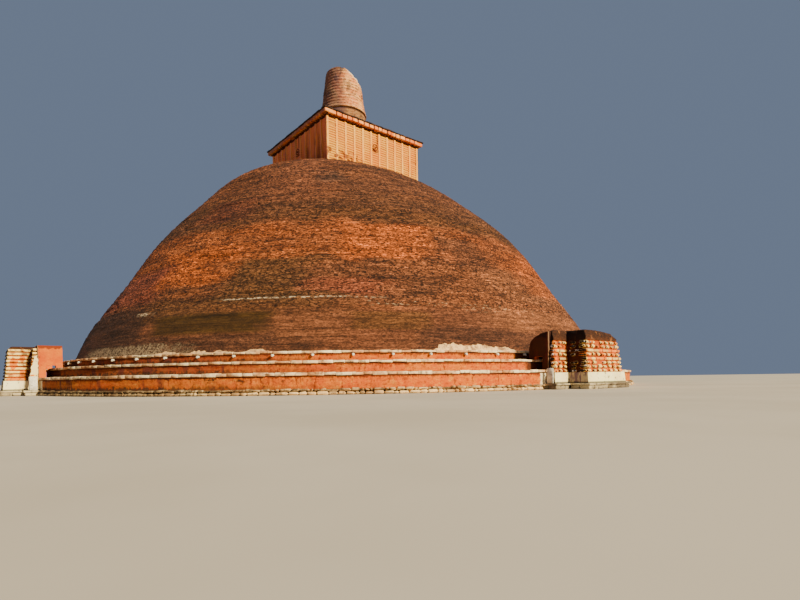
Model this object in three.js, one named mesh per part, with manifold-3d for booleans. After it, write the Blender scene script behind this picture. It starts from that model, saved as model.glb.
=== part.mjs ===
// A great brick stupa in its ruined state, as a scale model at one tenth of its real size.
// Three round terraces with stone copings carry a solid brick dome. A square chamber block
// stands in the dome's top, and a broken, ringed brick spire stands on the block. A gate front
// of carved courses stands against the terraces on each of the four sides.
// Millimetres, +Z up. The origin is on the ground, at the centre of the dome.
import * as THREE from 'three';
import { mergeVertices } from 'three/addons/utils/BufferGeometryUtils.js';
import Module from 'manifold-3d';

const wasm = await Module();
wasm.setup();

// The model at 1:10: metres of the real stupa become millimetres of the model.
const m = (metres) => metres * 100;

// Clearance left where a piece is cut by its neighbour.
const GAP = 0.3;

// Flats that stand for a full circle.
const ROUND = 72;
const SPIRE_ROUND = 32;

// Terraces, from the ground up: a footing kerb of rough stones, then three brick walls,
// each with a coping of stone slabs that reaches past it by the lip.
const KERB_RADIUS = m(58.7);
const KERB_TOP = m(0.75);
const COPING_LIP = m(0.2);
const TERRACES = [
  { name: 'lower', radius: m(58.25), under: m(2.15), slab: m(0.4) },
  { name: 'middle', radius: m(56.07), under: m(3.6), slab: m(0.35) },
  { name: 'upper', radius: m(53.9), under: m(4.86), slab: m(0.33) },
];

// White stone spouts round the upper wall, under its coping.
const SPOUT_COUNT = 70;
const SPOUT_WIDTH = m(0.36);
const SPOUT_HEIGHT = m(0.3);
const SPOUT_REACH = m(0.42);
const SPOUT_START = THREE.MathUtils.degToRad(0.4);

// Dome: its radius at shares of its height. The side that slumped faces SLUMP_SIDE.
const DOME_FOOT = m(5.15);
const DOME_TOP = m(51.37);
const DOME_PROFILE = [
  [0, m(52.0)],
  [0.12, m(49.3)],
  [0.28, m(44.2)],
  [0.45, m(39.0)],
  [0.62, m(32.2)],
  [0.78, m(24.9)],
  [0.9, m(12.6)],
  [1, m(2.5)],
];
const DOME_ROWS = 14;
const SLUMP_DEPTH = m(7);
const SLUMP_SIDE = THREE.MathUtils.degToRad(-72);
const SLUMP_SPREAD = 1.356;
const SLUMP_SHARE = 0.92;
const SLUMP_HEIGHT = 0.28;

// Square chamber block: its body with the strips of its faces, and the cornice over it.
const BLOCK_HALF = m(11.62);
const BLOCK_FLOOR = m(41.6);
const STRIPS = 12;
const STRIP_WIDTH = m(0.75);
const STRIP_DEPTH = m(0.18);
const FACE_BACKING = m(0.2);
const EMBLEM_RADIUS = m(0.62);
const EMBLEM_HEIGHT = m(46.7);
const EMBLEM_SIDE = m(1.05);
const CORNICE_HALF = m(12.4);
const CORNICE_FOOT = m(52.15);
const CORNICE_BAND = m(52.45);
const ROOF_HALF = m(12.55);
const ROOF_FOOT = m(53.17);
const ROOF_TOP = m(53.42);

// Spire: a drum, and a tapered shaft of rings whose head is broken off at a slant.
const DRUM_RADIUS = m(4.95);
const SHAFT_FOOT = m(59.9);
const SHAFT_TOP = m(69.3);
const SHAFT_RADII = [
  [0, m(5.2)],
  [0.12, m(4.85)],
  [0.3, m(4.56)],
  [0.49, m(4.34)],
  [0.73, m(3.94)],
  [0.91, m(3.6)],
  [1, m(3.1)],
];
const RING_COUNT = 14;
const RING_DEPTH = m(0.14);
const BREAK_SIDE = THREE.MathUtils.degToRad(-33.7);
const BREAKS = [
  { height: m(69.39), along: m(-4), slope: THREE.MathUtils.degToRad(8.6) },
  { height: m(68.73), along: m(0.39), slope: THREE.MathUtils.degToRad(34.6) },
];

// Gate fronts, drawn for the gate on +X. Plan at the top of the carved courses: a wide back
// part and a deep middle part. All of it flares out towards the ground.
const GATE_BACK = m(57.65);
const GATE_FOOT_BACK = m(57.3);
const SIDE_HALF = m(7.15);
const SIDE_FRONT = m(58.0);
const MIDDLE_HALF = m(4.0);
const MIDDLE_FRONT = m(60.7);
const STEP_FLARE = m(1.4);
const PLINTH_FLARE = m(0.9);
const PLINTH_TOP_FLARE = m(0.75);
const COURSES_FLARE = m(0.5);
const COURSES_TOP = m(6.35);
const COURSES = 8;
const COURSE_DEPTH = m(0.18);
const COURSE_SHARE = 0.58;
const CAP_TOP = m(7.1);
const WORN_CAP_TOP = m(7.7);
const WORN_CAP_SLOPES = [
  { side: m(-1), height: m(7.7), slope: THREE.MathUtils.degToRad(6) },
  { side: m(2.6), height: m(7.32), slope: THREE.MathUtils.degToRad(29) },
];
const END_STONE = { low: m(57.75), high: m(58.75), side: m(8.08), thick: m(0.22), height: m(2.0) };

// Brick walls behind each gate front. The walkway of the lower terrace passes behind them.
const WALL_HALF = m(7.65);
const WALL_THICK = m(1.0);
const WALL_BACK = m(56.7);
const WALL_TOP = m(7.15);
const PASSAGE_INNER = m(55.5);
const PASSAGE_TOP = m(4.3);
const WING_END = m(54.65);

const brick = new THREE.MeshStandardMaterial({ color: 0xb4562c, roughness: 0.95, metalness: 0 });
const domeBrick = new THREE.MeshStandardMaterial({ color: 0x7d4326, roughness: 0.95, metalness: 0 });
const blockBrick = new THREE.MeshStandardMaterial({ color: 0xd98f56, roughness: 0.9, metalness: 0 });
const copingStone = new THREE.MeshStandardMaterial({ color: 0xb8a88c, roughness: 0.9, metalness: 0 });
const roughStone = new THREE.MeshStandardMaterial({ color: 0xa89a80, roughness: 0.95, metalness: 0 });
const limePlaster = new THREE.MeshStandardMaterial({ color: 0xe4dcc4, roughness: 0.85, metalness: 0 });

const model = new THREE.Group();

function place(name, geometry, material, parent = model) {
  const mesh = new THREE.Mesh(geometry, material);
  mesh.name = name;
  parent.add(mesh);
  return mesh;
}

function toSolid(geometry) {
  const bare = geometry.clone();
  bare.deleteAttribute('normal');
  bare.deleteAttribute('uv');
  const merged = mergeVertices(bare);
  const vertProperties = new Float32Array(merged.attributes.position.array);
  const triVerts = new Uint32Array(merged.index.array);
  return new wasm.Manifold(new wasm.Mesh({ numProp: 3, vertProperties, triVerts }));
}

function toGeometry(solid) {
  const mesh = solid.getMesh();
  const geometry = new THREE.BufferGeometry();
  const corners = new Float32Array(mesh.vertProperties);
  geometry.setAttribute('position', new THREE.BufferAttribute(corners, 3));
  geometry.setIndex(new THREE.BufferAttribute(new Uint32Array(mesh.triVerts), 1));
  geometry.computeVertexNormals();
  return geometry;
}

const cut = (body, ...tools) => toGeometry(
  tools.reduce((rest, tool) => rest.subtract(toSolid(tool)), toSolid(body)),
);

const join = (body, ...others) => toGeometry(
  others.reduce((rest, other) => rest.add(toSolid(other)), toSolid(body)),
);

// A solid of revolution about Z, from a profile of radius and height that runs upwards.
function turned(profile, sides = ROUND) {
  const points = profile.map(([radius, z]) => new THREE.Vector2(radius, z));
  return new THREE.LatheGeometry(points, sides).rotateX(Math.PI / 2);
}

const disc = (radius, bottom, top) => turned([[0, bottom], [radius, bottom], [radius, top], [0, top]]);

const annulus = (inner, outer, bottom, top) => turned(
  [[inner, bottom], [outer, bottom], [outer, top], [inner, top], [inner, bottom]],
);

function box(low, high) {
  const size = high.map((value, axis) => value - low[axis]);
  const middle = high.map((value, axis) => (value + low[axis]) / 2);
  return new THREE.BoxGeometry(...size).translate(...middle);
}

// An outline of x and y, extruded upwards.
function prism(outline, bottom, top) {
  const shape = new THREE.Shape(outline.map(([x, y]) => new THREE.Vector2(x, y)));
  const settings = { depth: top - bottom, bevelEnabled: false };
  return new THREE.ExtrudeGeometry(shape, settings).translate(0, 0, bottom);
}

// An outline of x and z, extruded along Y from one side to the other.
function slabAlongY(outline, low, high) {
  const shape = new THREE.Shape(outline.map(([x, z]) => new THREE.Vector2(x, z)));
  const settings = { depth: high - low, bevelEnabled: false };
  return new THREE.ExtrudeGeometry(shape, settings).rotateX(Math.PI / 2).translate(0, high, 0);
}

// A closed body through outlines of equal point count, from the lowest level to the highest.
function loft(levels) {
  const count = levels[0].outline.length;
  const corners = levels.flatMap(({ z, outline }) => outline.flatMap(([x, y]) => [x, y, z]));
  const faces = [];
  for (let level = 0; level + 1 < levels.length; level += 1) {
    for (let i = 0; i < count; i += 1) {
      const a = level * count + i;
      const b = level * count + ((i + 1) % count);
      faces.push(a, b, b + count, a, b + count, a + count);
    }
  }
  const flat = (outline) => THREE.ShapeUtils.triangulateShape(
    outline.map(([x, y]) => new THREE.Vector2(x, y)),
    [],
  );
  const last = (levels.length - 1) * count;
  for (const [a, b, c] of flat(levels[0].outline)) {
    faces.push(a, c, b);
  }
  for (const [a, b, c] of flat(levels.at(-1).outline)) {
    faces.push(last + a, last + b, last + c);
  }
  const geometry = new THREE.BufferGeometry();
  geometry.setAttribute('position', new THREE.Float32BufferAttribute(corners, 3));
  geometry.setIndex(faces);
  return geometry;
}

// Plan of a gate front, counterclockwise: the middle part stands forward of the side parts.
function gatePlan(flare, back = GATE_BACK) {
  const side = SIDE_HALF + flare;
  const middle = MIDDLE_HALF + flare;
  return [
    [back, -side],
    [SIDE_FRONT + flare, -side],
    [SIDE_FRONT + flare, -middle],
    [MIDDLE_FRONT + flare, -middle],
    [MIDDLE_FRONT + flare, middle],
    [SIDE_FRONT + flare, middle],
    [SIDE_FRONT + flare, side],
    [back, side],
  ];
}

const quarterTurns = [
  { name: 'east', angle: 0, worn: false },
  { name: 'north', angle: Math.PI / 2, worn: true },
  { name: 'west', angle: Math.PI, worn: false },
  { name: 'south', angle: -Math.PI / 2, worn: true },
];

// A round terrace piece with room cut in it for the four gate fronts.
function roomForGates(geometry, flare, back, bottom, top) {
  const rooms = quarterTurns.map(({ angle }) => {
    const room = prism(gatePlan(flare + GAP, back - GAP), bottom - 1, top + 1);
    return room.rotateZ(angle);
  });
  return cut(geometry, ...rooms);
}

function spouts(wallRadius, top) {
  const one = box(
    [wallRadius - SPOUT_REACH, -SPOUT_WIDTH / 2, top - SPOUT_HEIGHT],
    [wallRadius + SPOUT_REACH, SPOUT_WIDTH / 2, top],
  );
  return Array.from({ length: SPOUT_COUNT }, (_, i) => (
    one.clone().rotateZ(SPOUT_START + (i / SPOUT_COUNT) * 2 * Math.PI)
  ));
}

function addTerraces() {
  const kerb = disc(KERB_RADIUS, 0, KERB_TOP);
  place('footing_kerb', roomForGates(kerb, STEP_FLARE, GATE_FOOT_BACK, 0, KERB_TOP), roughStone);
  let bottom = KERB_TOP;
  TERRACES.forEach(({ name, radius, under, slab }, i) => {
    const wallRadius = radius - COPING_LIP;
    const next = TERRACES[i + 1];
    const inner = next ? next.radius - COPING_LIP : DOME_PROFILE[0][1];
    const top = under + slab;
    let wall = disc(wallRadius, bottom, under);
    let coping = annulus(inner + GAP, radius, under, top);
    if (i === 0) {
      wall = roomForGates(wall, PLINTH_FLARE, GATE_FOOT_BACK, bottom, under);
      coping = roomForGates(coping, COURSES_FLARE + COURSE_DEPTH, GATE_BACK, under, top);
    }
    if (!next) {
      wall = join(wall, ...spouts(wallRadius, under - GAP));
    }
    place(`${name}_terrace_wall`, wall, brick);
    place(`${name}_coping`, coping, copingStone);
    bottom = under;
  });
}

// How far the slump pulls the dome's side in, at an angle and a share of the height.
function slump(angle, share) {
  const turn = Math.atan2(Math.sin(angle - SLUMP_SIDE), Math.cos(angle - SLUMP_SIDE));
  const aside = Math.exp(-((turn / SLUMP_SPREAD) ** 2));
  const upwards = Math.exp(-(((share - SLUMP_SHARE) / SLUMP_HEIGHT) ** 2));
  return SLUMP_DEPTH * aside * upwards;
}

function domeSolid() {
  const bottom = TERRACES.at(-1).under;
  const curve = new THREE.SplineCurve(DOME_PROFILE.map(([share, radius]) => (
    new THREE.Vector2(radius, DOME_FOOT + share * (DOME_TOP - DOME_FOOT))
  )));
  const side = curve.getPoints(DOME_ROWS).map(({ x, y }) => [x, y]);
  const profile = [[0, bottom], [DOME_PROFILE[0][1], bottom], ...side, [0, DOME_TOP]];
  const geometry = turned(profile);
  const corners = geometry.attributes.position;
  for (let i = 0; i < corners.count; i += 1) {
    const radius = Math.hypot(corners.getX(i), corners.getY(i));
    const share = (corners.getZ(i) - DOME_FOOT) / (DOME_TOP - DOME_FOOT);
    if (radius > 1 && share > 0) {
      const angle = Math.atan2(corners.getY(i), corners.getX(i));
      const kept = Math.max(radius - slump(angle, share), radius * 0.4);
      corners.setX(i, (corners.getX(i) * kept) / radius);
      corners.setY(i, (corners.getY(i) * kept) / radius);
    }
  }
  return geometry;
}

function addDome() {
  const reach = BLOCK_HALF + GAP;
  const socket = box([-reach, -reach, BLOCK_FLOOR], [reach, reach, DOME_TOP + 1]);
  place('dome', cut(domeSolid(), socket), domeBrick);
}

// One face of the chamber block, on the +X side: a thin backing with upright strips.
function faceOutline() {
  const back = BLOCK_HALF - STRIP_DEPTH - FACE_BACKING;
  const recess = BLOCK_HALF - STRIP_DEPTH;
  const pitch = (2 * BLOCK_HALF - STRIP_WIDTH) / (STRIPS - 1);
  const outline = [[back, -back + GAP]];
  for (let i = 0; i < STRIPS; i += 1) {
    const low = -BLOCK_HALF + i * pitch;
    const high = low + STRIP_WIDTH;
    const first = i === 0;
    const last = i === STRIPS - 1;
    if (!first) {
      outline.push([recess, low]);
    }
    outline.push([BLOCK_HALF, first ? low + GAP : low]);
    outline.push([BLOCK_HALF, last ? high - GAP : high]);
    if (!last) {
      outline.push([recess, high]);
    }
  }
  outline.push([back, back - GAP]);
  return outline;
}

function emblem() {
  const shape = new THREE.Shape().absarc(0, 0, EMBLEM_RADIUS, 0, 2 * Math.PI);
  const settings = { depth: STRIP_DEPTH * 1.5, bevelEnabled: false, curveSegments: 10 };
  const round = new THREE.ExtrudeGeometry(shape, settings).rotateY(Math.PI / 2);
  return round.translate(BLOCK_HALF - STRIP_DEPTH * 1.5, EMBLEM_SIDE, EMBLEM_HEIGHT);
}

function addChamberBlock() {
  const half = BLOCK_HALF - STRIP_DEPTH - FACE_BACKING - GAP;
  const core = box([-half, -half, BLOCK_FLOOR], [half, half, CORNICE_FOOT]);
  place('chamber_core', core, blockBrick);
  for (const { name, angle } of quarterTurns) {
    const face = join(prism(faceOutline(), BLOCK_FLOOR, CORNICE_FOOT), emblem());
    place(`chamber_face_${name}`, face, blockBrick).rotation.z = angle;
  }
  const square = (reach) => [[-reach, -reach], [reach, -reach], [reach, reach], [-reach, reach]];
  const cornice = loft([
    { z: CORNICE_FOOT, outline: square(BLOCK_HALF) },
    { z: CORNICE_BAND, outline: square(BLOCK_HALF + m(0.15)) },
    { z: CORNICE_BAND, outline: square(CORNICE_HALF) },
    { z: ROOF_FOOT, outline: square(CORNICE_HALF) },
  ]);
  place('chamber_cornice', cornice, blockBrick);
  place('chamber_roof_slab', prism(square(ROOF_HALF), ROOF_FOOT, ROOF_TOP), domeBrick);
}

function ringedShaft() {
  const curve = new THREE.SplineCurve(
    SHAFT_RADII.map(([share, radius]) => new THREE.Vector2(radius, share)),
  );
  const profile = [[0, SHAFT_FOOT]];
  const tall = SHAFT_TOP - SHAFT_FOOT;
  for (let i = 0; i < RING_COUNT; i += 1) {
    const low = curve.getPoint(i / RING_COUNT);
    const high = curve.getPoint((i + 1) / RING_COUNT);
    profile.push([low.x, SHAFT_FOOT + low.y * tall]);
    profile.push([high.x - RING_DEPTH, SHAFT_FOOT + high.y * tall]);
  }
  profile.push([0, SHAFT_TOP]);
  return turned(profile, SPIRE_ROUND);
}

function addSpire() {
  const drum = turned(
    [[0, ROOF_TOP], [DRUM_RADIUS, ROOF_TOP], [DRUM_RADIUS, SHAFT_FOOT], [0, SHAFT_FOOT]],
    SPIRE_ROUND,
  );
  place('spire_drum', drum, domeBrick);
  const tools = BREAKS.map(({ height, along, slope }) => (
    box([0, -m(8), 0], [m(12), m(8), m(8)])
      .rotateY(slope)
      .translate(along, 0, height)
      .rotateZ(BREAK_SIDE)
  ));
  place('spire_shaft', cut(ringedShaft(), ...tools), domeBrick);
}

// Base step of a gate, with an upright stone against each end of the plinth.
function gateBase() {
  const { low, high, side, thick, height } = END_STONE;
  const step = prism(gatePlan(STEP_FLARE, GATE_FOOT_BACK), 0, KERB_TOP);
  const right = box([low, side, KERB_TOP - 1], [high, side + thick, KERB_TOP + height]);
  const left = box([low, -side - thick, KERB_TOP - 1], [high, -side, KERB_TOP + height]);
  return join(step, right, left);
}

// The eight carved courses: each stands out over a recessed bed of bricks.
function carvedCourses() {
  const foot = TERRACES[0].under;
  const pitch = (COURSES_TOP - foot) / COURSES;
  const levels = [];
  for (let i = 0; i < COURSES; i += 1) {
    const low = i / COURSES;
    const flare = COURSES_FLARE * (1 - low);
    const head = gatePlan(flare + COURSE_DEPTH);
    const bed = gatePlan(flare);
    const z = foot + i * pitch;
    levels.push({ z, outline: head }, { z: z + COURSE_SHARE * pitch, outline: head });
    levels.push({ z: z + COURSE_SHARE * pitch, outline: bed }, { z: z + pitch, outline: bed });
  }
  return loft(levels);
}

// Weathered brick over the courses and the wall behind them, rounded towards its top. A worn
// cap is higher, and falls away on one side.
function brickCap(worn) {
  const top = worn ? WORN_CAP_TOP : CAP_TOP;
  const rise = top - COURSES_TOP;
  const shrink = [
    [0, 0],
    [0.4, 0.05],
    [0.75, 0.14],
    [1, 0.28],
  ];
  const half = WALL_HALF - WALL_THICK - GAP;
  const capPlan = (inward) => {
    const [first, ...rest] = gatePlan(-inward);
    const last = rest.pop();
    const back = WALL_BACK + inward * 0.6;
    return [[back, -half + inward], [first[0], -half + inward], first, ...rest, last,
      [last[0], half - inward], [back, half - inward]];
  };
  const cap = loft(shrink.map(([share, inward]) => ({
    z: COURSES_TOP + share * rise,
    outline: capPlan(m(inward)),
  })));
  const slopes = WORN_CAP_SLOPES.map(({ side, height, slope }) => (
    box([m(50), 0, 0], [m(64), m(14), m(8)]).rotateX(-slope).translate(0, side, height)
  ));
  return worn ? cut(cap, ...slopes) : cap;
}

// Side wall of a gate, with a doorway over the walkway. A worn one has lost its upper corner.
function wing(worn) {
  const foot = TERRACES[0].under + TERRACES[0].slab;
  const inner = TERRACES[1].under + TERRACES[1].slab + GAP;
  const wornTop = [
    [GATE_BACK - GAP, m(7.5)],
    [m(56.5), m(7.3)],
    [m(55.5), m(6.85)],
    [m(54.8), m(6.2)],
    [m(54.6), m(5.2)],
    [WING_END, inner],
  ];
  const squareTop = [
    [GATE_BACK - GAP, WALL_TOP],
    [WING_END, WALL_TOP],
    [WING_END, inner],
  ];
  return [
    [GATE_BACK - GAP, foot],
    ...(worn ? wornTop : squareTop),
    [PASSAGE_INNER, inner],
    [PASSAGE_INNER, PASSAGE_TOP],
    [WALL_BACK, PASSAGE_TOP],
    [WALL_BACK, foot],
  ];
}

function addGate({ name, angle, worn }) {
  const gate = new THREE.Group();
  gate.rotation.z = angle;
  model.add(gate);
  const plinthTop = TERRACES[0].under;
  const plinth = loft([
    { z: KERB_TOP, outline: gatePlan(PLINTH_FLARE, GATE_FOOT_BACK) },
    { z: plinthTop, outline: gatePlan(PLINTH_TOP_FLARE, GATE_FOOT_BACK) },
  ]);
  place(`gate_${name}_base_step`, gateBase(), roughStone, gate);
  place(`gate_${name}_plinth`, plinth, limePlaster, gate);
  place(`gate_${name}_carved_courses`, carvedCourses(), limePlaster, gate);
  place(`gate_${name}_brick_cap`, brickCap(worn), brick, gate);
  const foot = TERRACES[0].under + TERRACES[0].slab;
  const half = WALL_HALF - WALL_THICK - GAP;
  const wall = box([WALL_BACK, -half, foot], [GATE_BACK - GAP, half, COURSES_TOP]);
  place(`gate_${name}_back_wall`, wall, brick, gate);
  for (const [side, low] of [['right', WALL_HALF - WALL_THICK], ['left', -WALL_HALF]]) {
    const slab = slabAlongY(wing(worn), low, low + WALL_THICK);
    place(`gate_${name}_${side}_wing`, slab, brick, gate);
  }
}

addTerraces();
addDome();
addChamberBlock();
addSpire();
quarterTurns.forEach(addGate);

export default model;
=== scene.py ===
import math

import bpy
import numpy as np
from mathutils import Matrix, Vector, noise


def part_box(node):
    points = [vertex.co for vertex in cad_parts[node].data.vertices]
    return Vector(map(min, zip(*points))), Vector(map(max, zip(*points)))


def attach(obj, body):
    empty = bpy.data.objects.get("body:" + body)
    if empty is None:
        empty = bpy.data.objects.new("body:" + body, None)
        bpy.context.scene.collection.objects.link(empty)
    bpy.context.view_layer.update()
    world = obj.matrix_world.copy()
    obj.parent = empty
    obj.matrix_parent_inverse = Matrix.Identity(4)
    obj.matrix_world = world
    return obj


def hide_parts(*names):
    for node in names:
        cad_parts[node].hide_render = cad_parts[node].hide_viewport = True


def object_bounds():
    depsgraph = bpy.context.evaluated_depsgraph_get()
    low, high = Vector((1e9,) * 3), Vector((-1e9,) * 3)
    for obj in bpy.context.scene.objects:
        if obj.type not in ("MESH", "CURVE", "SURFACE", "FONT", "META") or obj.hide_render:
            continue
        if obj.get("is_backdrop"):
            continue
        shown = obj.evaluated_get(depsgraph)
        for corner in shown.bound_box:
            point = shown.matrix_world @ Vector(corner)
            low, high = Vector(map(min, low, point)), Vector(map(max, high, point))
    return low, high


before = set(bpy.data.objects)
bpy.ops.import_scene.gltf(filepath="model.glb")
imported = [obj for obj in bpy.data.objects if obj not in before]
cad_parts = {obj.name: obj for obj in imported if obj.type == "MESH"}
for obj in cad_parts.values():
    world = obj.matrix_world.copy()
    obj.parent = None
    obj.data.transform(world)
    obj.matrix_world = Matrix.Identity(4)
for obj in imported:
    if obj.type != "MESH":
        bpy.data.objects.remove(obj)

cad_low, cad_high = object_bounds()


# The stupa is seen from the paving, at a standing visitor's eye height, with a wide lens.
# The camera looks a little left of the dome's axis and the frame is shifted up the sky.
camera_data = bpy.data.cameras.new("visitor")
camera_data.lens = 22.72
camera_data.sensor_width = 36
camera_data.shift_y = 0.116
camera_data.clip_end = 500
camera = bpy.data.objects.new("visitor", camera_data)
bpy.context.collection.objects.link(camera)
bpy.context.scene.camera = camera
eye = Vector((-6.38, -9.549, 0.175))
yaw, pitch, roll = 0.6911, -0.0294, -0.0148
ahead = Vector((math.sin(yaw) * math.cos(pitch), math.cos(yaw) * math.cos(pitch), math.sin(pitch)))
level = Vector((math.cos(yaw), -math.sin(yaw), 0))
upright = level.cross(ahead)
across = level * math.cos(roll) + upright * math.sin(roll)
over = upright * math.cos(roll) - level * math.sin(roll)
camera.matrix_world = Matrix.Translation(eye) @ Matrix((across, over, -ahead)).transposed().to_4x4()


# Plain studio light: a broad warm lamp, low and nearly behind the camera's right shoulder, and a
# pale room around.
lamp_data = bpy.data.lights.new("broad_lamp", "SUN")
lamp_data.energy = 9.0
lamp_data.angle = math.radians(5)
lamp_data.color = (1.0, 0.88, 0.62)
lamp = bpy.data.objects.new("broad_lamp", lamp_data)
bpy.context.collection.objects.link(lamp)
lamp_from = Vector((0.17, -0.875, 0.454))
lamp.rotation_mode = "QUATERNION"
lamp.rotation_quaternion = lamp_from.to_track_quat("Z", "Y")
room = bpy.data.worlds.new("pale_room")
room.use_nodes = True
room.node_tree.nodes["Background"].inputs["Color"].default_value = (0.54, 0.69, 1.0, 1)
room.node_tree.nodes["Background"].inputs["Strength"].default_value = 0.27
bpy.context.scene.world = room


# The plain pale floor that the model stands on. It isn't part of the object.
# Its finish is the first made here, so the small classes that make every finish follow.
def paint(red, green, blue):
    """A colour given as on a screen, 0 to 255, in the linear values that shaders use."""
    linear = [((c / 255 + 0.055) / 1.055) ** 2.4 for c in (red, green, blue)]
    return (*linear, 1)


class Wire:
    """One output in a finish. Arithmetic on it adds the Math nodes."""

    def __init__(self, finish, socket):
        self.finish = finish
        self.socket = socket

    def maths(self, operation, *values):
        return self.finish.node("ShaderNodeMath", {"operation": operation}, dict(enumerate(values)))

    def __add__(self, other):
        return self.maths("ADD", self, other)

    def __sub__(self, other):
        return self.maths("SUBTRACT", self, other)

    def __rsub__(self, other):
        return self.maths("SUBTRACT", other, self)

    def __mul__(self, other):
        return self.maths("MULTIPLY", self, other)

    def __truediv__(self, other):
        return self.maths("DIVIDE", self, other)

    __radd__ = __add__
    __rmul__ = __mul__

    def between(self, low, high):
        """0 below low, 1 above high, and smooth between them. A low above the high turns it round."""
        limits = (high, low, 1, 0) if low > high else (low, high, 0, 1)
        values = dict(enumerate((self, *limits)))
        return self.finish.node("ShaderNodeMapRange", {"interpolation_type": "SMOOTHSTEP"}, values)

    def floor(self):
        return self.maths("FLOOR", self)


class Finish:
    """A procedural material: a ground colour, the coats laid over it, and what done() sets."""

    def __init__(self, name):
        self.material = bpy.data.materials.new(name)
        self.material.use_nodes = True
        self.tree = self.material.node_tree
        self.shader = self.tree.nodes["Principled BSDF"]
        self.place = self.node("ShaderNodeTexCoord", {}, {}, "Object")

    def node(self, kind, settings, values, output=0):
        made = self.tree.nodes.new(kind)
        for name, setting in settings.items():
            setattr(made, name, setting)
        for name, value in values.items():
            self.feed(made.inputs[name], value)
        return Wire(self, made.outputs[output])

    def feed(self, socket, value):
        if isinstance(value, Wire):
            self.tree.links.new(value.socket, socket)
        else:
            socket.default_value = value

    def axis(self, name, of=None):
        return self.node("ShaderNodeSeparateXYZ", {}, {0: of or self.place}, name)

    def bearing(self):
        """The angle round the dome's axis, in radians."""
        return self.axis("Y").maths("ARCTAN2", self.axis("Y"), self.axis("X"))

    def reaches(self):
        """How far a place is from the axis along X or Y: the larger of the two, and the smaller."""
        pair = [value.maths("ABSOLUTE", value) for value in (self.axis("X"), self.axis("Y"))]
        return pair[0].maths("MAXIMUM", *pair), pair[0].maths("MINIMUM", *pair)

    def painted_shade_side(self):
        """1 on the faces turned west or north, away from the lamp, and 0 on the others: the mask for painted
        shade.
        """
        facing = self.node("ShaderNodeTexCoord", {}, {}, "Normal")
        west, north = self.axis("X", facing).between(-0.3, -0.7), self.axis("Y", facing).between(0.3, 0.7)
        return west.maths("MAXIMUM", west, north)

    def spread(self, across, up):
        """The place, with so many marks to each metre across and up."""
        steps = {0: self.place, 1: (across, across, up or across)}
        return self.node("ShaderNodeVectorMath", {"operation": "MULTIPLY"}, steps)

    def grain(self, across, up=None, detail=4, roughness=0.55):
        """Noise of so many marks a metre across and up, broken down in so many sizes."""
        values = {"Vector": self.spread(across, up), "Scale": 1, "Detail": detail, "Roughness": roughness}
        return self.node("ShaderNodeTexNoise", {}, values)

    def cells(self, across, up=None):
        """A value from 0 to 1 for each of the small cells, so many a metre, that fill the place."""
        values = {"Vector": self.spread(across, up), "Scale": 1}
        return self.axis(0, self.node("ShaderNodeTexVoronoi", {}, values, "Color"))

    def mix(self, share, first, second):
        """Two colours, each a wire or red, green and blue, with the second taking its share."""
        pair = (paint(*c) if isinstance(c, tuple) else c for c in (first, second))
        return self.node("ShaderNodeMix", {"data_type": "RGBA"}, dict(zip((0, 6, 7), (share, *pair))), 2)

    def ground(self, share, first, second):
        self.colour = self.mix(share, first, second)

    def coat(self, share, tint):
        """A coat over what is there, on so much of the surface."""
        self.colour = self.mix(share, self.colour, tint)

    def shade(self, share):
        values = {0: self.colour, "Scale": share}
        self.colour = self.node("ShaderNodeVectorMath", {"operation": "SCALE"}, values)

    def done(self, roughness, height=None, depth=0.0):
        """The material, its relief a height from 0 to 1 that stands so many metres deep."""
        self.feed(self.shader.inputs["Base Color"], self.colour)
        self.feed(self.shader.inputs["Roughness"], roughness)
        self.shader.inputs["Specular IOR Level"].default_value = 0.25
        if height:
            bump = self.node("ShaderNodeBump", {}, {"Height": height, "Distance": depth, "Strength": 1})
            self.feed(self.shader.inputs["Normal"], bump)
        return self.material


def make(name, points, faces, material, crease=40):
    """A mesh piece from its points and faces, smooth but for edges over the crease angle."""
    mesh = bpy.data.meshes.new(name)
    mesh.from_pydata(np.asarray(points).reshape(-1, 3).tolist(), [], faces)
    mesh.materials.append(material)
    mesh.shade_smooth()
    mesh.set_sharp_from_angle(angle=math.radians(crease))
    made = bpy.data.objects.new(name, mesh)
    bpy.context.collection.objects.link(made)
    return made


FLOOR_REACH = 60
floor_finish = Finish("pale_floor")
floor_finish.ground(floor_finish.grain(0.6).between(0.35, 0.65), (190, 178, 158), (200, 189, 170))
floor_corners = [(x * FLOOR_REACH, y * FLOOR_REACH, 0) for x, y in ((-1, -1), (1, -1), (1, 1), (-1, 1))]
make("pale_floor", floor_corners, [(0, 1, 2, 3)], floor_finish.done(0.9))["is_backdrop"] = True


# Footing kerb: two courses of rough field stones, laid dry round the foot of the lowest wall.
# They are all of different sizes, with dark gaps, and leave room for the gates' base steps.
BLOCK_CORNERS = [(x, y, z) for x in (-1, 1) for y in (-1, 1) for z in (-1, 1)]
chance = np.random.default_rng(11)


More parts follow.
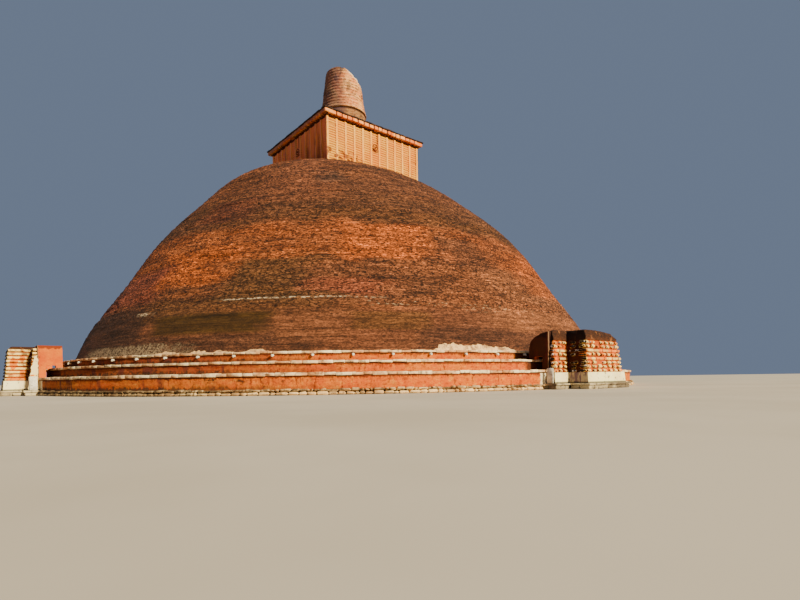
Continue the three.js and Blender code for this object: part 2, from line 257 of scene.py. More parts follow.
def block_faces():
    """The faces of a block with cut edges, whose corner k has the points 3k, 3k+1 and 3k+2."""
    unit = [[c * (1 if i == a else 0.8) for i, c in enumerate(k)] for k in BLOCK_CORNERS for a in range(3)]
    unit = np.array(unit)
    found = [[3 * k, 3 * k + 1, 3 * k + 2] for k in range(8)]
    for a in range(3):
        b, c = (a + 1) % 3, (a + 2) % 3
        for side in (-1, 1):
            ring = sorted((k for k in range(8) if BLOCK_CORNERS[k][a] == side),
                          key=lambda k: math.atan2(BLOCK_CORNERS[k][c], BLOCK_CORNERS[k][b]))
            found.append([3 * k + a for k in ring])
        for k in range(8):
            if BLOCK_CORNERS[k][a] < 0:
                twin = k + (4, 2, 1)[a]
                found.append([3 * k + b, 3 * twin + b, 3 * twin + c, 3 * k + c])
    outward = []
    for face in found:
        first, second, third = unit[face[:3]]
        facing = np.cross(second - first, third - first) @ unit[face].mean(axis=0)
        outward.append(face if facing > 0 else face[::-1])
    return outward


BLOCK_FACES = block_faces()


def block(length, width, height, cut, rough=0.0):
    """Points of one block about its middle, with its edges cut by so much."""
    half = np.array([length, width, height]) / 2
    cut = min(cut, 0.45 * min(length, width, height))
    points = [np.array(corner) * (half - cut * (1 - keep)) for corner in BLOCK_CORNERS for keep in np.eye(3)]
    return np.array(points) + chance.uniform(-rough, rough, (24, 3))


def swing(points, angle):
    """The points turned about the upright axis."""
    cos, sin = math.cos(angle), math.sin(angle)
    return points @ np.array([[cos, sin, 0], [-sin, cos, 0], [0, 0, 1]])


def gather(lots):
    """Joins blocks, and other points with their faces, into one piece inside the stupa's own box."""
    points, faces, start = [], [], 0
    for lot in lots:
        some, few = lot if isinstance(lot, tuple) else (lot, BLOCK_FACES)
        points.append(some)
        faces += [[start + i for i in face] for face in few]
        start += len(some)
    return np.clip(np.concatenate(points), cad_low, cad_high), faces


def stone_finish(name, pale, grey, dark, marks, shaded=0.0, clean=0.56, grown=0.0):
    """Rough stone: pale and grey patches, dark pits, growth in the hollows, and painted shade on the side
    turned west.
    """
    finish = Finish(name)
    patch = finish.grain(marks * 0.35).between(0.38, 0.62)
    pits = finish.grain(marks * 3, None, 6).between(0.46, 0.3)
    growth = finish.grain(marks, None, 5, 0.7).between(clean, clean + 0.16)
    finish.ground(patch, pale, grey)
    finish.coat(growth * 0.75, dark)
    finish.coat(pits * 0.6, dark)
    if shaded:
        # Painted shade on the side turned west, away from the lamp.
        finish.coat(finish.bearing().between(-2.2, -2.7) * shaded, dark)
    if grown:
        lumps = finish.grain(marks * 2).between(0.4, 0.56)
        finish.coat(finish.axis("Z").between(0.036, 0.046) * (1 - lumps * 0.7) * grown, dark)
    return finish.done(0.85 + 0.1 * growth, finish.grain(marks * 1.6, None, 8, 0.65), 0.012)


def ring_faces(rows, sides, closed=False):
    """Quads between rows of points that run round a full circle."""
    faces = []
    for row in range(rows if closed else rows - 1):
        low = row * sides
        high = ((row + 1) % rows) * sides
        for i in range(sides):
            j = (i + 1) % sides
            faces.append((low + i, low + j, high + j, high + i))
    return faces


def ring_points(profile, sides, wobble):
    """Points round the axis from a profile of radius and height, moved out by the wobble."""
    points = []
    for row, (radius, z) in enumerate(profile):
        for i in range(sides):
            angle = 2 * math.pi * i / sides
            reach = radius + wobble(angle, radius, z, row)
            points.append((reach * math.cos(angle), reach * math.sin(angle), z))
    return np.array(points)


def dress(node, slot, name, points, faces, material, crease):
    """A finished piece on the one body, seen in place of a node; the slot, the node's kind of material, is
    not used.
    """
    piece = make(name, points, faces, material, crease)
    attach(piece, "root")
    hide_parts(node)


GATE_SIDES = {"east": 0, "north": math.pi / 2, "west": math.pi, "south": -math.pi / 2}
STEP_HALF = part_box("gate_east_base_step")[1].y
KERB_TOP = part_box("footing_kerb")[1].z
KERB_RADIUS = 5.87
KERB_EARTH = [(5.62, 0.0), (5.79, 0.0), (5.79, 0.034), (5.775, 0.068), (5.62, 0.068)]


def in_gate_room(angle, radius, half_width):
    """Whether a stone at this angle would stand inside one of the gates."""
    return any(
        abs(radius * math.sin(angle - side)) < half_width and math.cos(angle - side) > 0
        for side in GATE_SIDES.values()
    )


lots = []
for course, (bottom, top) in enumerate(((0.0, 0.042), (0.04, KERB_TOP))):
    angle = 0.0
    while angle < 2 * math.pi - 0.004:
        length = chance.uniform(0.035, 0.14)
        height = (top - bottom) * chance.uniform(0.7, 1.0)
        depth = chance.uniform(0.10, 0.13)
        radius = KERB_RADIUS - depth / 2 - course * 0.012 - chance.uniform(0, 0.012)
        middle = angle + length / 2 / KERB_RADIUS
        if not in_gate_room(middle, KERB_RADIUS, STEP_HALF - 0.005):
            stone = block(length * 0.94, depth, height, 0.014, 0.006)
            stone[:, 2] = np.maximum(stone[:, 2], -height / 2)
            stone = swing(stone, math.pi / 2) + (radius, 0, bottom + height / 2)
            lots.append(swing(stone, middle))
        angle += length / KERB_RADIUS
# The kerb's finish lays painted shade on its side turned west.
kerb_stone = stone_finish("kerb_stone", (250, 212, 150), (196, 152, 100), (60, 44, 26), 9, 0.8, 0.54, 0.85)
dress("footing_kerb", "rough_stone", "footing_kerb_stones", *gather(lots), kerb_stone, 50)
dark_earth = stone_finish("kerb_earth", (92, 68, 46), (60, 44, 32), (30, 22, 16), 12)
points = ring_points(KERB_EARTH, 240, lambda angle, radius, z, row: 0)
dress("footing_kerb", "rough_stone", "footing_kerb_earth",
      points, ring_faces(len(KERB_EARTH), 240, True), dark_earth, 50)


# Terrace walls: round drums of orange brick, once plastered, now bare and streaked by rain.
# Courses have worn back unevenly, and the faces bulge and dip a little along their length.
def wear(x, y, z, scale, stretch_z=1.0):
    """Smooth noise from -1 to 1 with so many marks a metre."""
    return noise.fractal(Vector((x * scale, y * scale, z * scale * stretch_z)), 0.7, 2.0, 4)


def brickwork(finish, length=0.03, height=0.0075, along=None):
    """Brick courses: a tone for each brick, and the joints between them."""
    along = along or finish.axis("X") + finish.axis("Y")
    place = finish.node("ShaderNodeCombineXYZ", {}, {0: along, 1: finish.axis("Z")})
    values = {"Vector": place, "Color1": (0, 0, 0, 1), "Color2": (1, 1, 1, 1), "Mortar": (0.5, 0.5, 0.5, 1),
              "Scale": 1, "Mortar Size": height * 0.08, "Mortar Smooth": 0.4,
              "Brick Width": length, "Row Height": height}
    tone = finish.node("ShaderNodeTexBrick", {}, values)
    return tone * 1.0, Wire(finish, tone.socket.node.outputs["Fac"])


def terrace_finish():
    finish = Finish("terrace_brick")
    bearing = finish.bearing()
    tone, joints = brickwork(finish, 0.038, 0.0078, bearing * 5.7)
    patch = finish.grain(2.4, 2.4, 5).between(0.35, 0.68)
    finish.ground(patch, (240, 104, 8), (255, 142, 18))
    finish.coat(tone * 0.35, (180, 70, 8))
    # Rain and growth: long dark runs, short strokes, and soot that creeps up from the foot; with the runs and
    # soot, painted shade darkens the side turned west, more on the upper walls.
    shaded = bearing.between(-2.0, -2.6) + 0.2
    shade_by_height = finish.axis("Z").between(0.22, 0.3) * 0.3 + 0.35
    runs = finish.grain(8, 1).between(0.52, 0.7)
    strokes = finish.grain(34, 9, 4, 0.65).between(0.56, 0.68)
    soot = finish.grain(9, 14.4, 6, 0.7).between(0.56, 0.68)
    blots = finish.grain(17, 25.5, 6, 0.7)
    finish.coat(blots.between(0.52, 0.64) * 0.7, (166, 64, 12))
    finish.coat(blots.between(0.46, 0.36) * 0.5, (255, 178, 66))
    finish.coat((runs * 0.5 + shade_by_height) * shaded, (108, 50, 36))
    finish.coat(strokes * 0.85, (128, 44, 10))
    finish.coat(soot * shaded, (50, 34, 24))
    # A painted shadow with dark drips under each coping, growth along each foot made heavier to the west by
    # the painted-shade mask, a painted shadow beside each gate, and a last white patch of plaster beside each
    # gate.
    drip = (finish.grain(26, 5, 5, 0.7) - 0.5) * 0.09
    up = finish.axis("Z")
    for foot, under in ((0.07, 0.213), (0.25, 0.358), (0.39, 0.484)):
        shade_under_coping = (up + drip).between(under - 0.03, under - 0.008) * up.between(under + 0.01, under)
        finish.coat(shade_under_coping * 0.85, (92, 34, 12))
        grown = (up + drip * 1.8).between(foot + 0.045, foot + 0.015) * up.between(foot - 0.01, foot)
        finish.coat(grown * (shaded * 0.8 - 0.1), (58, 42, 26))
    turn = bearing * (180 / math.pi) + 45
    aside = turn - (turn / 90).floor() * 90 - 45
    aside = aside.maths("ABSOLUTE", aside) + (finish.grain(22) - 0.5) * 0.5
    # Painted shadow of each gate's wing on the middle and upper walls beside it.
    finish.coat(aside.between(9.6, 8.8) * up.between(0.24, 0.25) * 0.85, (44, 26, 18))
    finish.coat(aside.between(8.95, 8.75) * up.between(0.215, 0.205), (244, 226, 188))
    finish.coat(joints * 0.3, (120, 56, 30))
    height = finish.grain(60, 60, 5) * 0.6 + finish.grain(14) - joints * 0.5
    return finish.done(0.9 + 0.05 * strokes, height, 0.006)


terrace_brick = terrace_finish()
WALL_ROUND = 900
TERRACES = (("lower", 5.805, KERB_TOP - 0.01, 0.215), ("middle", 5.587, 0.254, 0.36),
            ("upper", 5.37, 0.394, 0.486))
for level_name, radius, bottom, top in TERRACES:
    inner = radius - 0.06
    heights = np.linspace(bottom, top, 9)
    profile = [(inner, bottom)] + [(radius, z) for z in heights] + [(inner, top)]

    def worn_face(angle, reach, z, row, last=len(profile) - 1):
        if row in (0, last):
            return 0
        x, y = reach * math.cos(angle), reach * math.sin(angle)
        ledge = 0.004 if row % 3 == 0 else 0
        return 0.007 * wear(x, y, z, 1.6) + 0.006 * wear(x, y, z, 14, 2) - 0.006 - ledge

    points = ring_points(profile, WALL_ROUND, worn_face)
    dress(f"{level_name}_terrace_wall", "terrace_brick", f"{level_name}_wall_brickwork",
          points, ring_faces(len(profile), WALL_ROUND, True), terrace_brick, 60)


# Copings: worn stone slabs laid end to end along each terrace's edge, past the wall's face,
# and a row of paving slabs behind them. They are cream where clean and grey with growth.
# The copings' finish lays a little painted shade on their side turned west.
coping_stone = stone_finish("coping_stone", (255, 232, 184), (206, 148, 98), (56, 36, 24), 9, 0.3, 0.53)
COPINGS = (("lower_coping", 5.825, 5.59), ("middle_coping", 5.607, 5.375), ("upper_coping", 5.39, 5.205))
for coping_name, outer, inner in COPINGS:
    low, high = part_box(coping_name)
    edge_depth = 0.6 * (outer - inner)
    rows = ((outer, edge_depth, 0.14), (outer - edge_depth, outer - inner - edge_depth, 0.11))
    lots = []
    for reach, depth, usual in rows:
        angle = 0.0
        while angle < 2 * math.pi - 0.006:
            length = usual * chance.uniform(0.7, 1.35)
            middle = angle + length / 2 / reach
            thick = (high.z - low.z) * chance.uniform(0.72, 1.0)
            slab = block(length * 0.985, depth * 0.985, thick, 0.006, 0.0022)
            out = reach - depth / 2 - chance.uniform(0, 0.01)
            middle_z = high.z - thick / 2 - chance.uniform(0, 1) * (high.z - low.z - thick)
            slab = swing(slab, math.pi / 2) + (out, 0, middle_z)
            lots.append(swing(slab, middle))
            angle += length / reach
    dress(coping_name, "coping_stone", f"{coping_name}_slabs", *gather(lots), coping_stone, 50)


# Spouts: small white stone heads built into the upper wall, under its coping. Each is a neck
# with a swollen brow and a grooved lip, to throw rain clear of the brick.
SPOUT_COUNT = 70
spout_stone = stone_finish("spout_stone", (240, 232, 212), (214, 204, 182), (90, 76, 58), 30)
spout_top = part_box("upper_terrace_wall")[1].z - 0.003
lots = []
for i in range(SPOUT_COUNT):
    angle = math.radians(0.4) + 2 * math.pi * i / SPOUT_COUNT
    neck = block(0.07, 0.03, 0.026, 0.008, 0.001) + (5.36, 0, spout_top - 0.014)
    brow = block(0.026, 0.036, 0.028, 0.010, 0.0015) + (5.394, 0, spout_top - 0.015)
    lip = block(0.022, 0.024, 0.012, 0.005, 0.001) + (5.40, 0, spout_top - 0.026)
    lots += [swing(form, angle) for form in (neck, brow, lip)]
dress("upper_terrace_wall", "coping_stone", "upper_wall_spouts", *gather(lots), spout_stone, 70)


# Dome: solid brick laid in level courses, each set back on the one below. Its plaster is gone,
# whole areas have spalled, and its shoulder has slumped on the side to the right of the gate.
DOME_FOOT, DOME_TOP = 0.515, 5.137
DOME_SHARES = (0, 0.12, 0.28, 0.45, 0.62, 0.78, 0.9, 1)
DOME_RADII = (5.2, 4.93, 4.42, 3.9, 3.22, 2.49, 1.26, 0.25)


def dome_curve(steps):
    """Smooth profile through the measured radii, as radius and height."""
    knots = np.array([(r, DOME_FOOT + s * (DOME_TOP - DOME_FOOT)) for s, r in zip(DOME_SHARES, DOME_RADII)])
    rows = []
    for t in np.linspace(0, len(knots) - 1, steps):
        i = min(int(t), len(knots) - 2)
        w = t - i
        before, start, end, after = (knots[min(max(k, 0), len(knots) - 1)] for k in (i - 1, i, i + 1, i + 2))
        leave, arrive = (end - before) / 2, (after - start) / 2
        rows.append((2 * w**3 - 3 * w**2 + 1) * start + (w**3 - 2 * w**2 + w) * leave
                    + (3 * w**2 - 2 * w**3) * end + (w**3 - w**2) * arrive)
    return np.array(rows)


def slump(angle, z):
    """How far the slump pulls the dome's side in."""
    share = (z - DOME_FOOT) / (DOME_TOP - DOME_FOOT)
    turn = math.remainder(angle + math.radians(72), 2 * math.pi)
    return 0.7 * math.exp(-((turn / 1.356) ** 2)) * math.exp(-(((share - 0.92) / 0.28) ** 2))


DOME_ROUND = 640
BAND = 0.042
DOME_SPLIT = 46
dome_profile = dome_curve(400)
band_edges = np.arange(DOME_FOOT, 4.78, BAND)
dome_rows = [(5.2, 0.487)]
for z in band_edges:
    here = np.interp(z, dome_profile[:, 1], dome_profile[:, 0])
    there = np.interp(z + BAND, dome_profile[:, 1], dome_profile[:, 0])
    dome_rows += [(here, z), (there + 0.4 * (here - there), z + BAND * 0.86)]


def worn_dome(angle, radius, z, row):
    """Slump, level courses of unequal depth, spalled areas with stepped edges, and rough brick."""
    x, y = radius * math.cos(angle), radius * math.sin(angle)
    course = (row - 1) // 2
    uneven = 0.007 * noise.noise(Vector((course * 7.3, angle * 0.8, 0)))
    spall = noise.fractal(Vector((x * 0.9, y * 0.9, course * BAND * 3.0)), 0.8, 2.0, 4)
    pocket = -0.014 if spall > 0.36 and z > 1.2 else 0.0
    rough = 0.011 * noise.fractal(Vector((x * 11, y * 11, z * 24)), 0.6, 2.1, 3)
    swell = 0.02 * noise.noise(Vector((x * 0.5, y * 0.5, z * 0.8)))
    fade = min(1.0, max(0.0, (z - 0.5) / 0.5))
    return fade * (uneven + pocket + rough + swell - 0.01) - slump(angle, max(z, DOME_FOOT))


def closed_faces(rows, sides):
    """Quads between rows of points, and a face over each end."""
    ends = [list(range(sides))[::-1], [(rows - 1) * sides + i for i in range(sides)]]
    return ring_faces(rows, sides) + ends


def dome_finish():
    finish = Finish("dome_brick")
    up = finish.axis("Z")
    course = (up / 0.0078).floor() * 0.0078
    bearing = finish.bearing()
    turn = bearing * (180 / math.pi)
    turn = turn - ((turn + 270) / 360).floor() * 360
    joints = brickwork(finish, 0.038, 0.0078, bearing * (5.6 - course * 0.78))[1]
    # Edges of the marks are uneven, so heights and turns are read a little off their place.
    stray = finish.grain(1.6, 4.8, 5) - 0.5
    level_at = up + stray * 0.3
    turn_at = turn + (finish.grain(2.3, 2.3, 5) - 0.5) * 16

    def mark(first, last, bottom, top, edge=4, soft=0.05, at=(turn_at, level_at)):
        """A patch between two turns in degrees and two heights, with soft edges."""
        sides = at[0].between(first - edge, first + edge) * at[0].between(last + edge, last - edge)
        ends = at[1].between(bottom - soft, bottom + soft) * at[1].between(top + soft, top - soft)
        return sides * ends

    # Weathered brick, in level belts of brown, olive and red that fade into each other.
    broad = finish.grain(0.8, 2.8, 6, 0.62)
    finish.ground(broad.between(0.36, 0.64), (94, 54, 31), (124, 70, 38))
    torn = finish.grain(1.5, 7.5, 6, 0.7)
    belt = level_at.between(1.84, 1.9) * level_at.between(2.6, 2.38)
    straight = (turn + stray * 2, up + stray * 0.03)
    olive, brown, west_red, dark = (80, 52, 26), (100, 60, 38), (104, 55, 37), (60, 37, 25)
    fresh, tan, red = (166, 82, 28), (142, 86, 52), (146, 70, 46)
    high = level_at.between(3.3, 3.0) * level_at.between(2.4, 2.65)
    upper_marks = [
        (high, 0.5, olive),
        (mark(-152, -58, 2.8, 4.7, 8), 0.5, brown),
        (mark(-174, -134, 2.45, 2.8, 6), 0.4, brown),
        (mark(-144, -129, 1.2, 2.0, 5), 0.75, olive),
        (mark(-132, -112, 1.15, 1.75, 7), 0.4, brown),
        (mark(-205, -172, 0.9, 2.5, 6), 0.4, west_red),
        # Painted shade along the dome's west edge, from foot to top.
        (mark(-225, -180, 0.4, 4.5, 6), 0.6, (78, 47, 31)),
        (belt, torn.between(0.4, 0.6) * 0.45 + 0.35, (152, 78, 33)),
        (mark(-125, -107, 1.87, 2.48, 3), torn.between(0.36, 0.56) * 0.4 + 0.45, fresh),
        (mark(-163, -146, 1.5, 2.16, 5), torn.between(0.34, 0.56) * 0.45 + 0.5, fresh),
        (mark(-104, -91, 1.8, 2.35, 3), 0.9, (96, 56, 34)),
        (mark(-208, -184, 1.3, 2.5, 6), 0.8, (92, 50, 34)),
        (mark(-96, -50, 1.26, 1.85, 6), 0.7, tan),
        (mark(-86, -40, 1.5, 2.25, 5), 0.6, fresh),
        (mark(-222, -198, 1.8, 2.4, 6), 0.55, fresh),
        (mark(40, 80, 1.7, 2.3, 6), 0.55, fresh),
        (mark(-182, -161, 1.3, 1.9), 0.7, (126, 62, 42)),
        (mark(-130, -117, 1.3, 1.5), 0.4, red),
        (mark(-162, -148, 2.66, 3.1), 0.6, (96, 46, 32)),
        (mark(-134, -125, 3.42, 3.74, 3), 0.85, (58, 46, 36)),
        (mark(-150, -127, 2.95, 4.4, 5), 0.4, (126, 72, 46)),
    ]
    # The smooth foot, with panels of olive growth between the places of old scaffolds.
    panel = mark(-155.5, -135, 0.78, 1.06, 1.6, 0.04, straight)
    foot_marks = [
        (level_at.between(1.14, 1.0), 0.85, (108, 63, 39)),
        (mark(-204, -157, 0.4, 1.22, 3), 0.85, dark),
        (mark(-172, -130, 0.4, 0.76, 4), 0.7, (70, 43, 28)),
        (mark(-160, -126, 0.98, 1.32, 5), 0.6, olive),
        (panel, 0.9, (64, 43, 10)),
        (mark(-138, -130, 0.72, 0.9, 2, 0.03), 0.4, brown),
        (mark(-134, -124, 0.7, 1.1, 1, 0.03, straight), 0.75, (118, 70, 42)),
        (mark(-123, -111, 0.8, 1.04, 1, 0.02, straight), 0.7, (92, 58, 26)),
        (mark(-112, -82, 0.85, 1.1, 3), 0.65, (110, 64, 40)),
        (mark(-113, -89, 0.58, 0.84, 3), 0.75, (80, 48, 32)),
        (mark(-98, -60, 0.84, 1.2, 4), 0.8, tan),
        (mark(20, 70, 0.7, 1.1, 1, 0.02, straight), 0.8, olive),
        (mark(-250, -220, 0.75, 1.1, 3), 0.7, tan),
    ]
    for place, share, tint in upper_marks + foot_marks:
        finish.coat(place * share, tint)
    # Loose and broken bricks: each has its own tone, and they lie thick above the smooth foot.
    loose = (level_at.between(0.95, 1.3) * 0.45 + 0.55) * (1 - panel * 0.5)
    lumps, chips = finish.cells(21.6, 61.2), finish.cells(46.2, 92.4)
    finish.shade(1 + (chips - 0.5) * loose * 2)
    finish.shade(1 + (lumps - 0.5) * loose * 1.3)
    # Courses weather in long level streaks, in three widths, and in small patches.
    for wide, tall, strength in ((1.3, 6, 1.2), (1.3, 11, 1.6), (1.2, 26, 2.2), (1.6, 60, 2.4), (5, 13, 1.2)):
        finish.shade(1 + (finish.grain(wide, tall, 5, 0.65) - 0.5) * strength)
    finish.coat(joints * 0.25, (66, 40, 24))
    # The last of the plaster: broken lines of white flecks, and a grey coat low on the west side.
    flecks = finish.grain(15, 52.5, 4, 0.7)
    thin = (turn_at, up + stray * 0.05)
    lines_of_lime = mark(-143, -118, 1.24, 1.26, 2, 0.008, thin) + mark(-163, -157, 1.1, 1.15, 2, 0.01, thin)
    strewn = mark(-120, -107, 1.13, 1.21, 3, 0.02, thin) + mark(-104, -89, 1.08, 1.2, 3, 0.02, thin)
    finish.coat(lines_of_lime * flecks.between(0.49, 0.56) * 0.85, (232, 204, 166))
    finish.coat(strewn * flecks.between(0.58, 0.66) * 0.8, (222, 188, 146))
    coat_edge = finish.grain(13, 13, 5, 0.65) * 0.2 + 0.6
    coat = mark(-173, -149, 0.4, 0.68, 4, 0.05) * (coat_edge - up).between(0.0, 0.05)
    mottle = finish.cells(60) * 0.6 + finish.grain(24, 24, 6, 0.7) * 0.4
    grey = finish.mix(mottle.between(0.2, 0.8), (50, 38, 30), (172, 146, 112))
    finish.coat(coat * mottle.between(0.15, 0.5) * 0.85, grey)
    relief = finish.grain(70, 112, 5) * 0.6 + chips * 0.7 * loose - joints * 0.4
    return finish.done(0.93, relief, 0.012)


dome_brick = dome_finish()
dome_points = ring_points(dome_rows, DOME_ROUND, worn_dome)
split = (2 * DOME_SPLIT + 1) * DOME_ROUND
for part, lot in (("lower", dome_points[:split + DOME_ROUND]), ("upper", dome_points[split:])):
    dress("dome", "dome_brick", f"dome_{part}_brickwork",
          lot, closed_faces(len(lot) // DOME_ROUND, DOME_ROUND), dome_brick, 75)


# Plaster left round the dome's foot: a thin lime coat that ends upwards in a ragged edge, a hand
# high in most places. A cream patch stands higher towards the gate.
PLASTER_ROUND = 1500
PLASTER_ROWS = 5


def plaster_top(turn):
    """Height of the coat's ragged edge at a turn in degrees, with its hills: turn, width and height."""
    hills = ((-150, 3, 0.03), (-145, 1.5, 0.035), (-141, 1.2, 0.03), (-136.5, 1.5, 0.035),
             (-109.2, 1.9, 0.09), (-105.2, 2.6, 0.072), (-100.4, 3, 0.046),
             (-60, 8, 0.05), (10, 9, 0.1), (62, 12, 0.06), (120, 10, 0.1))
    rise = sum(high * math.exp(-((math.remainder(turn - at, 360) / wide) ** 4)) for at, wide, high in hills)
    x, y = math.cos(math.radians(turn)), math.sin(math.radians(turn))
    ragged = noise.fractal(Vector((x * 120, y * 120, 3)), 0.35, 2.2, 5)
    broken = noise.fractal(Vector((x * 14, y * 14, 8)), 0.7, 2.2, 4)
    return 0.52 + rise * (1 + 0.14 * ragged) + 0.009 * ragged + 0.02 * broken


points = []
for row in range(PLASTER_ROWS + 1):
    for i in range(PLASTER_ROUND):
        turn = 360 * i / PLASTER_ROUND
        angle = math.radians(turn)
        top = max(0.523, plaster_top(turn))
        share = min(row, PLASTER_ROWS - 1) / (PLASTER_ROWS - 1)
        z = 0.5 + (top - 0.5) * share
        reach = np.interp(z, dome_profile[:, 1], dome_profile[:, 0]) + 0.016 - 0.008 * share
        reach += 0.004 * noise.noise(Vector((math.cos(angle) * 90, math.sin(angle) * 90, z * 25)))
        reach -= 0.05 * (row == PLASTER_ROWS) + slump(angle, z)
        points.append((reach * math.cos(angle), reach * math.sin(angle), z))


def plaster_finish(name, clean, stained, marks, shaded):
    """Old lime plaster: pale, with grey and brown stains, small dark losses, and painted shade on the faces
    turned away from the lamp.
    """
    finish = Finish(name)
    stain = finish.grain(marks * 0.4, marks * 0.2, 6, 0.65).between(0.42, 0.66)
    losses = finish.grain(marks * 2.5, None, 5, 0.7).between(0.58, 0.66)
    finish.ground(stain, clean, stained)
    finish.coat(losses * 0.7, (96, 70, 50))
    streaks = finish.grain(30, 8).between(0.4, 0.6)
    # Painted shade, lilac grey and streaked, on the faces turned away from the lamp.
    finish.coat(finish.painted_shade_side() * (streaks * 0.5 + 0.5) * shaded, (112, 88, 96))
    # A plinth's foot, on the base step, is black with growth.
    finish.coat(finish.axis("Z").between(0.1, 0.088) * 0.85, (46, 40, 34))
    return finish.done(0.88, finish.grain(marks * 3, None, 6) - losses * 0.6, 0.006)


foot_plaster = plaster_finish("foot_plaster", (250, 204, 140), (150, 112, 78), 34, 0.2)
dress("dome", "lime_plaster", "dome_foot_plaster",
      points, ring_faces(PLASTER_ROWS + 1, PLASTER_ROUND), foot_plaster, 50)


# Chamber block: a square of light brick whose faces copy a stone railing in relief. Each face
# has twelve posts, and between them stacks of lens-shaped rails that meet in zigzags.
face_low, face_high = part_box("chamber_face_south")
BLOCK_HALF = face_high.x
POST_WIDE = 0.046
POST_PITCH = (2 * BLOCK_HALF - POST_WIDE) / 11
RECESS = BLOCK_HALF - 0.024


def chamber_finish(name, light, deep, worn, shaded):
    finish = Finish(name)
    tone, joints = brickwork(finish, height=0.0065)
    patch = finish.grain(3, 1.8, 5).between(0.36, 0.66)
    soot = finish.grain(5, 1.75, 6, 0.7).between(0.58, 0.72)
    finish.ground(patch, light, deep)
    finish.coat(tone * 0.25, worn)
    finish.coat(soot * 0.5, worn)
    finish.coat(joints * 0.3, worn)
    # A row of put-log holes near the foot of the south face, painted as dark spots: painted shade in their
    # mouths.
    holes = finish.cells(14, 16.8).between(0.6, 0.7)
    low = finish.axis("Z").between(4.44, 4.48) * finish.axis("Z").between(4.66, 4.62)
    near = finish.axis("X").between(-0.2, -0.5) * finish.axis("Y").between(-1.0, -1.1)
    finish.coat(holes * low * near * 0.8, (120, 48, 24))
    # Painted shade: the brick deep between the rails is darker, and the faces turned away from the lamp are
    # painted dark red with runs.
    finish.coat(finish.reaches()[0].between(RECESS + 0.008, RECESS + 0.002) * 0.55, (150, 74, 22))
    runs = finish.grain(9, 1.2, 5, 0.65).between(0.46, 0.64)
    red = finish.mix(runs, shaded, (124, 62, 56))
    finish.coat(finish.painted_shade_side() * (0.86 - soot * 0.2), red)
    return finish.done(0.9, finish.grain(50, 50, 5) - joints * 0.5, 0.004)


post_brick = chamber_finish("post_brick", (255, 192, 84), (255, 170, 60), (218, 124, 44), (230, 134, 104))
rail_brick = chamber_finish("rail_brick", (255, 192, 64), (255, 164, 44), (196, 94, 22), (228, 120, 98))


def rail(length, height, depth):
    """One rail with a lens-shaped section: its front bulges, and its edges are thin."""
    rows = []
    for share in np.linspace(-1, 1, 7):
        out = depth * (1 - share**2)
        rows += [(out, -length / 2, share * height / 2), (out, length / 2, share * height / 2)]
    points = np.array(rows) + chance.uniform(-0.0006, 0.0006, (14, 3))
    faces = [[2 * i, 2 * i + 1, 2 * i + 3, 2 * i + 2] for i in range(6)]
    faces += [[2 * i for i in range(7)][::-1], [2 * i + 1 for i in range(7)], [0, 1, 13, 12][::-1]]
    return points, [face[::-1] for face in faces]


for name, side in GATE_SIDES.items():
    post_lots, rail_lots = [], []
    backing = block(0.022, 2 * RECESS, face_high.z - face_low.z, 0.0005)
    rail_lots.append(swing(backing + (RECESS - 0.011, 0, (face_low.z + face_high.z) / 2), side))
    for i in range(12):
        y = -BLOCK_HALF + POST_WIDE / 2 + i * POST_PITCH
        for bottom in np.arange(face_low.z, face_high.z - 0.01, 0.132):
            tall = min(0.1315, face_high.z - bottom)
            length = block(0.03, POST_WIDE - chance.uniform(0, 0.002), tall, 0.003, 0.0006)
            middle = (BLOCK_HALF - 0.015 - chance.uniform(0, 0.0015), y, bottom + tall / 2)
            post_lots.append(swing(length + middle, side))
        if i == 11:
            break
        offset = chance.uniform(0, 0.01)
        for z in np.arange(face_low.z + 0.02 + offset, face_high.z - 0.02, 0.0455):
            if chance.random() < 0.02:
                continue
            points, faces = rail(POST_PITCH - POST_WIDE, 0.036, 0.021 * chance.uniform(0.8, 1.0))
            placed = points + (RECESS - 0.001, y + POST_PITCH / 2, z)
            rail_lots.append((swing(placed, side), faces))
    for lot_name, lots, finish in (("posts", post_lots, post_brick), ("rails", rail_lots, rail_brick)):
        dress(f"chamber_face_{name}", "chamber_brick", f"chamber_{name}_{lot_name}",
              *gather(lots), finish, 35)
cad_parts["chamber_core"].data.materials[0] = rail_brick


# Emblem of each chamber face: a raised ring with a boss, a crescent under it, and a short staff
# over it, all cut in the brick between two posts.
def ring_bar(radius, thick, first, last, steps, depth):
    """A flat bar bent round a circle from one turn to another, standing out along X."""
    points, faces = [], []
    turns = np.radians(np.linspace(first, last, steps + 1))
    for turn in turns:
        for edge, out in ((-thick, 0), (-thick, depth), (thick, depth), (thick, 0)):
            reach = radius + edge
            points.append((out, reach * math.cos(turn), reach * math.sin(turn)))
    for i in range(steps):
        faces += [[4 * i + k, 4 * i + (k + 1) % 4, 4 * i + 4 + (k + 1) % 4, 4 * i + 4 + k] for k in range(4)]
    return np.array(points), faces


# The emblem's brick is dark: painted shade that stands in for the shadow in its grooves.
emblem_painted_shade = chamber_finish("emblem_painted_shade", (150, 74, 26), (126, 56, 18), (96, 44, 18), (96, 44, 36))
for name, side in GATE_SIDES.items():
    at = np.array((RECESS - 0.004, 0.0, 4.92))
    lots = []
    for form in (ring_bar(0.058, 0.008, 0, 360, 28, 0.0275), ring_bar(0.011, 0.011, 0, 360, 12, 0.0275),
                 ring_bar(0.092, 0.007, 225, 315, 14, 0.0275)):
        lots.append((swing(form[0] + at, side), form[1]))
    staff = block(0.02, 0.014, 0.22, 0.002) + at + (0.0175, 0.055, 0.18)
    lots.append(swing(staff, side))
    dress(f"chamber_face_{name}", "chamber_brick", f"chamber_{name}_emblem",
          *gather(lots), emblem_painted_shade, 35)


